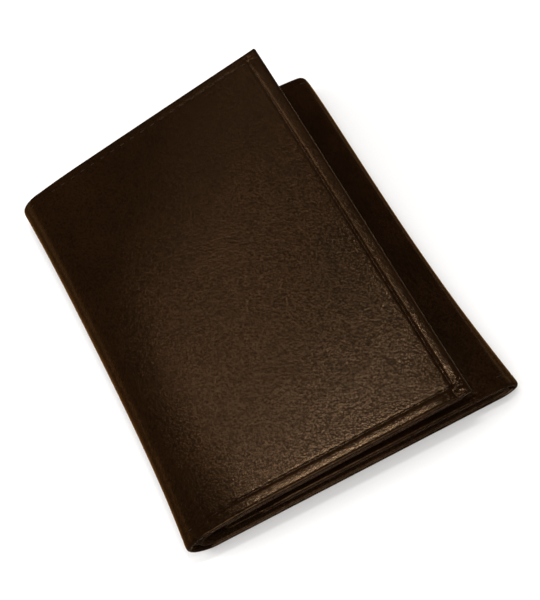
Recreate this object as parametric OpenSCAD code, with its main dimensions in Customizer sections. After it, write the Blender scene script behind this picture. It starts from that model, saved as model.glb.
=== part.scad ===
// Trifold identity and badge wallet, shown closed and lying on its back.
// The outer leather is one shell in three panels: the back lies flat, the leaf folds in
// from the right and the flap folds over it from the left. A second, shorter shell lies
// inside the first, and the space between the two is the bill compartment.
// X runs from the flap's fold to the leaf's fold, Y along the folds and Z up.
// The origin is the middle of the footprint, on the surface that the wallet lies on.

/* [Closed wallet] */
// Width over both folds
wallet_w = 84; // [78:0.5:96]
// Height along the folds
wallet_h = 108; // [100:0.5:120]
// Distance from the outside of the flap's fold to the flap's free edge
flap_reach = 72.5; // [66:0.5:76]
// Distance from the outside of the flap's fold to the leaf's free edge
leaf_setback = 16.5; // [14:0.5:22]

/* [Spring of the flap] */
// Rise of the flap's free corner at the low end of the folds
near_corner_rise = 3.6; // [0.5:0.1:5]
// Rise of the flap's free corner at the far end of the folds
far_corner_rise = 15.4; // [5:0.1:18]
// Swell of the flap between its fold and its free edge
flap_crown = 0.5; // [0.4:0.1:2.5]
// How late along the folds the flap starts to spring up
spring_power = 1.5; // [1:0.1:2]

/* [Plies] */
// Thickness of the outer leather
outer_ply = 0.9; // [0.7:0.05:1.2]
// Thickness of the bill compartment's cloth lining
lining_ply = 0.2; // [0.15:0.05:0.4]
// Thickness of the inner leather
inner_ply = 0.55; // [0.4:0.05:0.9]
// Thickness of the board that stiffens the leaf
stiffener_ply = 0.4; // [0.3:0.05:0.8]
// Thickness of the clear film over the identity card
film_ply = 0.25; // [0.15:0.05:0.4]
// Thickness of the leather frame round the window
window_frame_ply = 0.5; // [0.4:0.05:0.9]
// Thickness of the leather frame round the badge, which is the depth of its recess
badge_frame_ply = 1.2; // [1:0.1:2.5]
// Thickness of one card pocket
pocket_ply = 0.25; // [0.2:0.05:0.5]

/* [Identity window] */
// Leather left at each side of the window
window_side_margin = 10; // [7:0.5:14]
// Leather left above and below the window
window_end_margin = 13; // [9:0.5:18]
// Radius of the window's corners
window_corner_r = 4; // [2:0.5:8]
// Film hidden under the frame, on every side
film_lap = 4; // [2:0.5:5]
// Radius of the thumb notch in the window's lower edge
thumb_notch_r = 7; // [5:0.5:8]

/* [Badge panel] */
// Leather left at each side of the badge's opening
badge_side_margin = 8; // [6:0.5:12]
// Height of the badge's opening
badge_h = 66; // [56:0.5:76]
// Radius of the badge opening's upper corners
badge_corner_r = 7; // [4:0.5:10]
// Length of one slit for the badge's clip
slit_len = 10; // [6:0.5:20]
// Width of one slit
slit_w = 1.6; // [1:0.1:2.5]
// Distance between the two slits
slit_pitch = 24; // [18:0.5:32]

/* [Card pockets] */
// Height of the lowest pocket's mouth above the low end of the wallet
first_mouth = 66; // [58:0.5:72]
// Step from one pocket's mouth to the next
mouth_step = 10; // [7:0.5:10]

/* [Clearances] */
// Space between the outer and inner shells, where the bills go
bill_gap = 0.2; // [0.1:0.05:0.5]
// Space between panels that face each other
panel_gap = 0.5; // [0.4:0.05:1.2]
// Slack between a panel and its fold, where the leather bends
crease_gap = 0.3; // [0.25:0.05:0.5]
// Glue line between plies that are curved
glue_gap = 0.08; // [0.06:0.01:0.12]
// How far each ply is set in from the edge of the ply behind it
ply_step = 0.8; // [0.4:0.1:1.5]
// How far the inner shell's flap fold is drawn in, because that shell is shorter
flap_fold_draw = 2; // [0.5:0.1:3]
// How far the inner shell's leaf fold is drawn in
leaf_fold_draw = 1.2; // [0.4:0.1:2]

/* [Edges] */
// Radius of a panel's free corners
corner_r = 1.5; // [0.5:0.1:4]

/* [Hidden] */
// Overrun of every cut past the face that it opens
overrun = 1;
// Card pockets in the flap, one over the other
pocket_count = 3;
// Cells of a sprung ply along X and along Y
sprung_cells = [12, 14];
$fn = 48;

low_y = -wallet_h / 2;
high_y = wallet_h / 2;
left_x = -wallet_w / 2;
right_x = wallet_w / 2;

// Heights of the plies, from the table up
back_lining_z = outer_ply;
back_inner_z = back_lining_z + lining_ply + bill_gap;
film_z = back_inner_z + inner_ply + glue_gap;
window_frame_z = film_z + film_ply;
back_top_z = window_frame_z + window_frame_ply;
badge_frame_z = back_top_z + panel_gap;
leaf_inner_z = badge_frame_z + badge_frame_ply;
leaf_lining_z = leaf_inner_z + inner_ply + bill_gap;
stiffener_z = leaf_lining_z + lining_ply;
leaf_outer_z = stiffener_z + stiffener_ply;
leaf_top_z = leaf_outer_z + outer_ply;
pocket_z = leaf_top_z + panel_gap;
flap_inner_z = pocket_z + pocket_count * (pocket_ply + glue_gap);
flap_lining_z = flap_inner_z + inner_ply + bill_gap;
flap_outer_z = flap_lining_z + lining_ply + glue_gap;
flap_top_z = flap_outer_z + outer_ply;

// Each fold is half a round, as tall as what it folds over
flap_fold_r = flap_top_z / 2;
leaf_fold_r = leaf_top_z / 2;
flap_fold_x = left_x + flap_fold_r;
leaf_fold_x = right_x - leaf_fold_r;
flap_inner_fold_x = flap_fold_x + flap_fold_draw;
leaf_inner_fold_x = leaf_fold_x - leaf_fold_draw;
flap_edge_x = left_x + flap_reach;
leaf_edge_x = left_x + leaf_setback;
flap_len = flap_edge_x - flap_fold_x;

// The flat middle of the inner shell, between the two folds
inner_mid_x = (flap_inner_fold_x + leaf_inner_fold_x) / 2;
inner_w = leaf_inner_fold_x - flap_inner_fold_x - 2 * crease_gap;
window_w = inner_w - 2 * ply_step - 2 * window_side_margin;
window_h = wallet_h - 4 * ply_step - 2 * window_end_margin;

// The badge panel, between the leaf's free edge and its inner fold
badge_panel_left = leaf_edge_x + 2 * ply_step;
badge_panel_right = leaf_inner_fold_x - crease_gap - ply_step;
badge_panel_w = badge_panel_right - badge_panel_left;
badge_mid_x = (badge_panel_left + badge_panel_right) / 2;
badge_w = badge_panel_w - 2 * badge_side_margin;

// Share of the badge's opening that is straight-sided, above its point
badge_straight_share = 0.55;
// Points along one side of the shield's point
shield_steps = 14;

outer_colour = [0.20, 0.13, 0.08];
inner_colour = [0.16, 0.10, 0.06];
lining_colour = [0.10, 0.09, 0.08];
board_colour = [0.55, 0.47, 0.36];
film_colour = [0.85, 0.88, 0.90, 0.35];

// What a round of radius r takes off a corner that points towards side and end
module corner_cut(x, y, side, end, r) {
    reach = r + overrun;
    translate([x - side * r, y - end * r])
        difference() {
            translate([side < 0 ? -reach : 0, end < 0 ? -reach : 0]) square(reach);
            circle(r);
        }
}

// A rectangle whose corners are rounded on its left side, -1, on its right side, 1, or on both
module panel_outline(x0, y0, x1, y1, r, sides = [-1, 1]) {
    difference() {
        translate([x0, y0]) square([x1 - x0, y1 - y0]);
        for (side = sides, end = [-1, 1])
            corner_cut(side < 0 ? x0 : x1, end < 0 ? y0 : y1, side, end, r);
    }
}

module ply(z, thickness) {
    translate([0, 0, z]) linear_extrude(thickness) children();
}

// Half a tube along Y that opens towards open_side, from the low end to the high end
module half_round(x, z, outer_r, thickness, open_side, inset) {
    length = wallet_h - 2 * inset;
    translate([x, low_y + inset + length, z])
        rotate([90, 0, 0])
            linear_extrude(length)
                difference() {
                    circle(outer_r);
                    circle(outer_r - thickness);
                    translate([open_side < 0 ? -outer_r - overrun : 0, -outer_r - overrun])
                        square([outer_r + overrun, 2 * (outer_r + overrun)]);
                }
}

// Where a point of the flap goes as the flap springs up: the free edge rises more towards
// its far end, the leather leans back by as much, and it swells between fold and edge
function sprung(x, y, z) =
    let (
        out = (x - flap_fold_x) / flap_len,
        along = (y - low_y) / wallet_h,
        edge_rise = near_corner_rise
            + (far_corner_rise - near_corner_rise) * pow(along, spring_power),
        lean = atan(edge_rise / flap_len)
    )
    [
        flap_fold_x + (x - flap_fold_x) * cos(lean),
        y,
        z + out * edge_rise + flap_crown * sin(180 * out)
    ];

// One ply of the sprung flap, from x0 to x1 and y0 to y1, whose flat underside is at z
module sprung_ply(x0, y0, x1, y1, z, thickness) {
    nx = sprung_cells[0];
    ny = sprung_cells[1];
    across = nx + 1;
    layer = across * (ny + 1);
    function at(i, j, k) = k * layer + j * across + i;
    points = [
        for (k = [0, 1], j = [0:ny], i = [0:nx])
            sprung(x0 + (x1 - x0) * i / nx, y0 + (y1 - y0) * j / ny, z + k * thickness)
    ];
    faces = concat(
        [for (j = [0:ny - 1], i = [0:nx - 1], half = [0, 1])
            half == 0 ? [at(i, j, 1), at(i, j + 1, 1), at(i + 1, j + 1, 1)]
                : [at(i, j, 1), at(i + 1, j + 1, 1), at(i + 1, j, 1)]],
        [for (j = [0:ny - 1], i = [0:nx - 1], half = [0, 1])
            half == 0 ? [at(i, j, 0), at(i + 1, j + 1, 0), at(i, j + 1, 0)]
                : [at(i, j, 0), at(i + 1, j, 0), at(i + 1, j + 1, 0)]],
        [for (i = [0:nx - 1], half = [0, 1])
            half == 0 ? [at(i, 0, 0), at(i, 0, 1), at(i + 1, 0, 1)]
                : [at(i, 0, 0), at(i + 1, 0, 1), at(i + 1, 0, 0)]],
        [for (i = [0:nx - 1], half = [0, 1])
            half == 0 ? [at(i, ny, 0), at(i + 1, ny, 1), at(i, ny, 1)]
                : [at(i, ny, 0), at(i + 1, ny, 0), at(i + 1, ny, 1)]],
        [for (j = [0:ny - 1], half = [0, 1])
            half == 0 ? [at(0, j, 0), at(0, j + 1, 1), at(0, j, 1)]
                : [at(0, j, 0), at(0, j + 1, 0), at(0, j + 1, 1)]],
        [for (j = [0:ny - 1], half = [0, 1])
            half == 0 ? [at(nx, j, 0), at(nx, j, 1), at(nx, j + 1, 1)]
                : [at(nx, j, 0), at(nx, j + 1, 1), at(nx, j + 1, 0)]]
    );
    polyhedron(points, faces, convexity = 4);
}

// The badge's opening: square shoulders above, and sides that curve in to a low point
function shield_side(share) =
    [badge_w / 2 * sqrt(1 - pow(share, 2)), -badge_h * (1 - badge_straight_share) * share];

module badge_opening() {
    straight_h = badge_h * badge_straight_share;
    shoulder_y = badge_h / 2;
    waist_y = shoulder_y - straight_h;
    translate([badge_mid_x, 0]) {
        panel_outline(-badge_w / 2, waist_y - badge_corner_r, badge_w / 2, shoulder_y, badge_corner_r);
        translate([0, waist_y])
            polygon(concat(
                [for (i = [0:shield_steps]) shield_side(i / shield_steps)],
                [for (i = [shield_steps - 1:-1:0])
                    let (p = shield_side(i / shield_steps)) [-p[0], p[1]]]
            ));
    }
}

// A slit with round ends, for the clip on the back of a badge
module slit() {
    straight = slit_len - slit_w;
    square([straight, slit_w], center = true);
    for (end = [-1, 1])
        translate([end * straight / 2, 0]) circle(slit_w / 2);
}

// The back, which lies on the table

module back_outer_leather() {
    color(outer_colour)
        ply(0, outer_ply)
            translate([flap_fold_x + crease_gap, low_y])
                square([leaf_fold_x - flap_fold_x - 2 * crease_gap, wallet_h]);
}

module back_bill_lining() {
    color(lining_colour)
        ply(back_lining_z, lining_ply)
            translate([flap_fold_x + crease_gap, low_y + ply_step])
                square([leaf_fold_x - flap_fold_x - 2 * crease_gap, wallet_h - 2 * ply_step]);
}

module back_inner_panel() {
    color(inner_colour)
        ply(back_inner_z, inner_ply)
            translate([inner_mid_x - inner_w / 2, low_y + ply_step])
                square([inner_w, wallet_h - 2 * ply_step]);
}

module id_window_film() {
    color(film_colour)
        ply(film_z, film_ply)
            panel_outline(
                inner_mid_x - window_w / 2 - film_lap, -window_h / 2 - film_lap,
                inner_mid_x + window_w / 2 + film_lap, window_h / 2 + film_lap,
                window_corner_r
            );
}

module id_window_frame() {
    color(outer_colour)
        ply(window_frame_z, window_frame_ply)
            difference() {
                panel_outline(
                    inner_mid_x - inner_w / 2 + ply_step, low_y + 2 * ply_step,
                    inner_mid_x + inner_w / 2 - ply_step, high_y - 2 * ply_step,
                    corner_r
                );
                panel_outline(
                    inner_mid_x - window_w / 2, -window_h / 2,
                    inner_mid_x + window_w / 2, window_h / 2,
                    window_corner_r
                );
                translate([inner_mid_x, -window_h / 2]) circle(thumb_notch_r);
            }
}

// The flap's fold

module flap_fold_outer_leather() {
    color(outer_colour)
        half_round(flap_fold_x, flap_fold_r, flap_fold_r, outer_ply, 1, 0);
}

module flap_fold_lining() {
    color(lining_colour)
        half_round(flap_fold_x, flap_fold_r, flap_fold_r - outer_ply - glue_gap,
            lining_ply, 1, ply_step);
}

module flap_fold_inner_leather() {
    bottom = back_inner_z;
    top = flap_inner_z + inner_ply;
    color(inner_colour)
        half_round(flap_inner_fold_x, (bottom + top) / 2, (top - bottom) / 2,
            inner_ply, 1, ply_step);
}

// The flap, which springs up a little towards its far free corner

module flap_outer_leather() {
    color(outer_colour)
        sprung_ply(flap_fold_x + crease_gap, low_y, flap_edge_x, high_y,
            flap_outer_z, outer_ply);
}

module flap_bill_lining() {
    color(lining_colour)
        sprung_ply(flap_fold_x + crease_gap, low_y + ply_step, flap_edge_x - ply_step,
            high_y - ply_step, flap_lining_z, lining_ply);
}

module flap_inner_panel() {
    color(inner_colour)
        sprung_ply(flap_inner_fold_x + crease_gap, low_y + ply_step, flap_edge_x - ply_step,
            high_y - ply_step, flap_inner_z, inner_ply);
}

// Pocket 0 has the lowest mouth and lies farthest from the flap's leather
module card_pocket(index) {
    color(outer_colour)
        sprung_ply(
            flap_inner_fold_x + crease_gap + ply_step, low_y + 2 * ply_step,
            flap_edge_x - 2 * ply_step, low_y + first_mouth + index * mouth_step,
            pocket_z + index * (pocket_ply + glue_gap), pocket_ply
        );
}

module card_pocket_low() {
    card_pocket(0);
}

module card_pocket_middle() {
    card_pocket(1);
}

module card_pocket_high() {
    card_pocket(2);
}

// The leaf's fold

module leaf_fold_outer_leather() {
    color(outer_colour)
        half_round(leaf_fold_x, leaf_fold_r, leaf_fold_r, outer_ply, -1, 0);
}

module leaf_fold_lining() {
    color(lining_colour)
        half_round(leaf_fold_x, leaf_fold_r, leaf_fold_r - outer_ply - glue_gap,
            lining_ply, -1, ply_step);
}

module leaf_fold_inner_leather() {
    bottom = back_inner_z;
    top = leaf_inner_z + inner_ply;
    color(inner_colour)
        half_round(leaf_inner_fold_x, (bottom + top) / 2, (top - bottom) / 2,
            inner_ply, -1, ply_step);
}

// The leaf, which lies under the flap with its badge panel facing down

module leaf_outer_leather() {
    color(outer_colour)
        ply(leaf_outer_z, outer_ply)
            panel_outline(leaf_edge_x, low_y, leaf_fold_x - crease_gap, high_y, corner_r, [-1]);
}

module leaf_stiffener() {
    color(board_colour)
        ply(stiffener_z, stiffener_ply)
            panel_outline(leaf_edge_x + 2 * ply_step, low_y + 2 * ply_step,
                leaf_fold_x - crease_gap - ply_step, high_y - 2 * ply_step, corner_r, [-1]);
}

module leaf_bill_lining() {
    color(lining_colour)
        ply(leaf_lining_z, lining_ply)
            panel_outline(leaf_edge_x + ply_step, low_y + ply_step,
                leaf_fold_x - crease_gap, high_y - ply_step, corner_r, [-1]);
}

module leaf_inner_panel() {
    color(inner_colour)
        ply(leaf_inner_z, inner_ply)
            difference() {
                panel_outline(leaf_edge_x + ply_step, low_y + ply_step,
                    leaf_inner_fold_x - crease_gap, high_y - ply_step, corner_r, [-1]);
                for (side = [-1, 1])
                    translate([badge_mid_x, side * slit_pitch / 2]) slit();
            }
}

module badge_frame() {
    color(outer_colour)
        ply(badge_frame_z, badge_frame_ply)
            difference() {
                panel_outline(badge_panel_left, low_y + 2 * ply_step,
                    badge_panel_right, high_y - 2 * ply_step, corner_r);
                badge_opening();
            }
}

back_outer_leather();
back_bill_lining();
back_inner_panel();
id_window_film();
id_window_frame();
flap_fold_outer_leather();
flap_fold_lining();
flap_fold_inner_leather();
flap_outer_leather();
flap_bill_lining();
flap_inner_panel();
card_pocket_low();
card_pocket_middle();
card_pocket_high();
leaf_fold_outer_leather();
leaf_fold_lining();
leaf_fold_inner_leather();
leaf_outer_leather();
leaf_stiffener();
leaf_bill_lining();
leaf_inner_panel();
badge_frame();
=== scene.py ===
import math

import bpy
import numpy as np
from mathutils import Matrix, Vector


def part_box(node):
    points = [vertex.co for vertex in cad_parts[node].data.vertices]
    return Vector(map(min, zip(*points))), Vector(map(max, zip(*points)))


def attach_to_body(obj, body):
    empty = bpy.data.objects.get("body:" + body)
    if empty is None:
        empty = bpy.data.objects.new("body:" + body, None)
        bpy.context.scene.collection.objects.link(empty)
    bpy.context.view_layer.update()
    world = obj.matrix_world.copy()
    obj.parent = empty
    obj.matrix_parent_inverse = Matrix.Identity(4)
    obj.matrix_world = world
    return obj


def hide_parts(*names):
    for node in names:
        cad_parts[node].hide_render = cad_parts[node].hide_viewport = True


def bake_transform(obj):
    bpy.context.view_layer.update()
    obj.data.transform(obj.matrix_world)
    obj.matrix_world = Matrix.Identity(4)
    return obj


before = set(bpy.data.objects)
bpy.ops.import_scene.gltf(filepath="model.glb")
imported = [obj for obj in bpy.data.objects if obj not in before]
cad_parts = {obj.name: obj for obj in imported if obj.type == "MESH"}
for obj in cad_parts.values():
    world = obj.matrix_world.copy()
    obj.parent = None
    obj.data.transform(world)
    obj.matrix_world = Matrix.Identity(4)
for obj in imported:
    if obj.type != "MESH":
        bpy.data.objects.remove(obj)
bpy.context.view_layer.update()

mm = 0.001
print("frame loaded:", len(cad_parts), "nodes")


# The wallet is three shells folded like a C, one inside the other: outer leather, cloth
# lining and inner leather. Each is laid out along s, which equals x on the back, falls
# past the flap's fold and grows past the leaf's fold.
def foldFrom(node, side):
    low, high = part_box(node)
    return {
        "side": side,
        "x": high.x if side < 0 else low.x,
        "radius": (high.z - low.z) / 2,
        "bottom": low.z,
        "top": high.z,
    }


def shellFrom(flapFoldNode, leafFoldNode):
    return {"flap": foldFrom(flapFoldNode, -1), "leaf": foldFrom(leafFoldNode, 1)}


outerShell = shellFrom("flap_fold_outer_leather", "leaf_fold_outer_leather")
liningShell = shellFrom("flap_fold_lining", "leaf_fold_lining")
innerShell = shellFrom("flap_fold_inner_leather", "leaf_fold_inner_leather")
outerShell["leaf"]["swell"] = 0.9 * mm  # this fold stands a little open at its far end

nearY, farY = (corner.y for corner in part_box("back_outer_leather"))
yEnds = (nearY, farY)
wallet = {
    "height": farY - nearY,
    "leftX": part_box("flap_fold_outer_leather")[0].x,
    "flapReach": 72.5 * mm,  # from its fold to its free edge, as in the part's source
    "leafEdgeX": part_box("leaf_outer_leather")[0].x,
    "stitchPitch": 3.15 * mm,
    "backCut": 0.0,  # where the halves of a shell meet, under the wallet
}
wallet["flapEdgeX"] = wallet["leftX"] + wallet["flapReach"]

spring = {  # the rise of the flap, less what the roll beside its fold adds
    "nearRise": 2.3 * mm,
    "farRise": 15.5 * mm,
    "crown": 0.05 * mm,
    "power": 1.49,
    "foldX": outerShell["flap"]["x"],
    "length": wallet["flapEdgeX"] - outerShell["flap"]["x"],
}

# In mm: how far each fold bulges in five places from near to far, how much more its lower
# half does at the near end, and how the panel beside it goes on rolling over for some way,
# at its near and its far end: up for the flap, down for the leaf.
foldShape = {
    "flap": {
        "bulge": [1.85, 0.55, 0.5, 0.9, 2.0],
        "sag": 0,
        "lift": (1.0, 0.4),
        "droop": (0, 0),
        "over": (13, 12),
    },
    "leaf": {
        "bulge": [0.2, -0.7, -0.8, -0.27, -0.2],
        "sag": 1.2,
        "lift": (0, 0),
        "droop": (0.45, 0.45),
        "over": (10, 10),
    },
}
foldEnd = {
    "length": 2.0 * mm,  # each fold is squeezed over this length at both ends
    "narrower": 0.3 * mm,
    "openFrom": 0.5,  # a fold opens from this share of the way to its far end
}


def smooth(t):
    t = np.clip(t, 0, 1)
    return t * t * (3 - 2 * t)


def flapRise(y):
    along = np.clip((y - nearY) / wallet["height"], 0, 1)
    return spring["nearRise"] + (spring["farRise"] - spring["nearRise"]) * along ** spring["power"]


def sprung(x, y, z):
    out = (x - spring["foldX"]) / spring["length"]
    rise = flapRise(y)
    lean = np.arctan(rise / spring["length"])
    return np.stack([
        spring["foldX"] + (x - spring["foldX"]) * np.cos(lean),
        y,
        z + out * rise + spring["crown"] * np.sin(math.pi * out),
    ], -1)


def shellPoint(shell, s, y):
    points = np.stack([s, y, np.full_like(s, shell["flap"]["bottom"])], -1)
    for name, fold in shell.items():
        shape, radius, side = foldShape[name], fold["radius"], fold["side"]
        lift, droop, over = (
            np.interp(y, yEnds, shape[key]) * mm for key in ("lift", "droop", "over")
        )
        opened = (y / farY - foldEnd["openFrom"]) / (1 - foldEnd["openFrom"])
        swell = fold.get("swell", 0) * smooth(opened)
        slope = 2 * (lift + droop) / over
        if name == "flap":
            slope = slope + (flapRise(y) + math.pi * spring["crown"]) / spring["length"]
        past = (s - fold["x"]) * side
        turned = np.clip(past / radius, 0, math.pi - slope)
        curve = np.polyfit(np.linspace(-1, 1, len(shape["bulge"])), shape["bulge"], 4)
        bulge = np.polyval(curve, 2 * y / wallet["height"]) * mm
        toEnd = np.clip((farY - np.abs(y)) / foldEnd["length"], 0, 1)
        bulge = bulge - foldEnd["narrower"] * (1 - toEnd) ** 2
        nearness = 0.5 - np.clip(y / wallet["height"], -0.5, 0.5)
        bulge = bulge + shape["sag"] * mm * nearness ** 3 * (1 + np.cos(turned))
        rounded = np.stack([
            fold["x"] + side * (radius * np.sin(turned) + bulge * np.sin(turned) ** 2), y,
            fold["bottom"] + (radius + (swell - droop) / 2) * (1 - np.cos(turned)),
        ], -1)
        beyond = past - math.pi * radius
        rest = (1 - np.minimum(beyond / over, 1)) ** 2
        height = fold["top"] + swell + lift * (1 - rest) - droop * rest + radius * slope ** 2 / 2
        flat = np.stack([fold["x"] - side * beyond, y, height], -1)
        panel = sprung(fold["x"] + beyond, y, height) if name == "flap" else flat
        onPanel = (past > radius * (math.pi - slope))[..., None]
        points = np.where((past > 0)[..., None], np.where(onPanel, panel, rounded), points)
    return points


def unit(vectors):
    return vectors / np.linalg.norm(vectors, axis=-1, keepdims=True)


def shellFrame(shell, s, y):
    step = 0.05 * mm
    alongS = unit(shellPoint(shell, s + step, y) - shellPoint(shell, s - step, y))
    alongY = unit(shellPoint(shell, s, y + step) - shellPoint(shell, s, y - step))
    return shellPoint(shell, s, y), alongS, alongY, unit(np.cross(alongY, alongS))


# Where a fold ends and its panel begins, along s
def liftOf(fold):
    return fold["x"] + fold["side"] * math.pi * fold["radius"]


def flapToS(shell, x):
    return liftOf(shell["flap"]) - (x - shell["flap"]["x"])


def leafToS(shell, x):
    return liftOf(shell["leaf"]) + shell["leaf"]["x"] - x


# The two free edges of a shell
def sEndsOf(shell, setIn=0):
    flapEdge, leafEdge = wallet["flapEdgeX"] - setIn, wallet["leafEdgeX"] + setIn
    return flapToS(shell, flapEdge), leafToS(shell, leafEdge)


def cutsOf(shell, sLow, sHigh):
    flapBulge = shell["flap"]["x"] - math.pi / 2 * shell["flap"]["radius"]
    leafBulge = shell["leaf"]["x"] + math.pi / 2 * shell["leaf"]["radius"]
    return {
        "flap": (sLow, flapBulge),
        "back_flap_side": (flapBulge, wallet["backCut"]),
        "back_leaf_side": (wallet["backCut"], leafBulge),
        "leaf": (leafBulge, sHigh),
    }


# The piece's placing is baked into its points; it is not tied to any body
def attach(piece):
    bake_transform(piece)


def addObject(name, data):
    added = bpy.data.objects.new(name, data)
    bpy.context.scene.collection.objects.link(added)
    return added


sharpDegrees = 60


# A smooth-shaded mesh that knows where each point lies on the flat leather, in mm, how much
# painted shade its grooves, holes and gathered corners get, and how near it is to an edge
def meshPiece(name, points, faces, material, flatPlaces, **pointMarks):
    mesh = bpy.data.meshes.new(name)
    mesh.from_pydata(points.tolist(), [], faces)
    mesh.polygons.foreach_set("use_smooth", [True] * len(faces))
    mesh.set_sharp_from_angle(angle=math.radians(sharpDegrees))
    places = mesh.attributes.new("flatPlace", "FLOAT_VECTOR", "POINT")
    places.data.foreach_set("vector", (flatPlaces / mm).astype(np.float32).ravel())
    for kind, values in pointMarks.items():
        markLayer = mesh.attributes.new(kind, "FLOAT", "POINT")
        markLayer.data.foreach_set("value", values.astype(np.float32))
    mesh.materials.append(material)
    mesh.update()
    return addObject(name, mesh)


# The evenly spaced holes of a row of stitches between the seams along two edges
def holesBetween(low, high, lowSeam=0, highSeam=None):
    start, end = low + lowSeam, high - (lowSeam if highSeam is None else highSeam)
    return np.linspace(start, end, max(2, round((end - start) / wallet["stitchPitch"]) + 1))


# Where a mesh needs lines across an edge
gridSteps = {
    "rimDegrees": (0, 20, 40, 60, 75, 90),
    "pastRim": (1.4, 1.9, 2.6),  # in times the rim's radius
    "besideSeamMm": (-1.1, -0.75, -0.45, -0.22, 0, 0.22, 0.45, 0.75, 1.1),
    "framePastRim": (1.5,),
    "frameBesideSeamMm": (-0.7, -0.4, -0.2, 0, 0.2, 0.4, 0.7),
    "leastGap": 0.01 * mm,
    "markGap": 0.2 * mm,  # a stitch's line this close to another is left out
}


def edgeInsets(rim, pastRim, seam, besideSeamMm):
    insets = [rim * (1 - math.cos(math.radians(a))) for a in gridSteps["rimDegrees"]]
    insets += [share * rim for share in pastRim]
    return insets + [seam + d * mm for d in besideSeamMm] if seam else insets


# How far a rounded rim falls below the ply's face
def rimFall(rim, inset):
    return np.sqrt(np.maximum(rim ** 2 - np.maximum(rim - inset, 0) ** 2, 0)) - rim


# Lines of the grid that a ply is made on: close together over a turned edge and beside
# its seam, and at each stitch elsewhere. A seam of None is a plain cut.
def gridLines(low, high, lowSeam, highSeam, marks, rim, slitEdges):
    fine = [low, high, *slitEdges]
    for edge, inward, seam in ((low, 1, lowSeam), (high, -1, highSeam)):
        if seam is None:
            continue
        insets = edgeInsets(rim, gridSteps["pastRim"], seam, gridSteps["besideSeamMm"])
        fine += [edge + inward * inset for inset in insets]
    fine = np.array([f for f in fine if low <= f <= high])
    coarse = [m for m in marks if low < m < high and np.abs(fine - m).min() > gridSteps["markGap"]]
    lines = np.sort(np.concatenate([fine, coarse]))
    return lines[np.concatenate([[True], np.diff(lines) > gridSteps["leastGap"]])]


# How tightly the free edges are sewn at y, less towards the far end
def slackAt(y, ply):
    return np.interp(y, yEnds, (1, ply.get("farStrength", 1)))


# How much of a ply's relief is left at s, as the folds stretch it flat
def reliefAt(s, ply):
    return np.interp(s, *ply["relief"]) if "relief" in ply else np.ones_like(s)


grooveShape = {
    "betweenHoles": 0.15,  # its depth there, as a share of the depth at a hole
    "flattest": 0.25,  # the share of it where no relief is left
    "rowEnd": 0.5 * mm,  # it fades out over this length past the last stitch
}


def grooveLeft(relief):
    return grooveShape["flattest"] + (1 - grooveShape["flattest"]) * relief


edgeWear = 0.9 * mm  # how far in from an edge its colour reaches
hemTaper = 0.8  # how fast a turned-in edge thins past its rim, in rims


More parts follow.
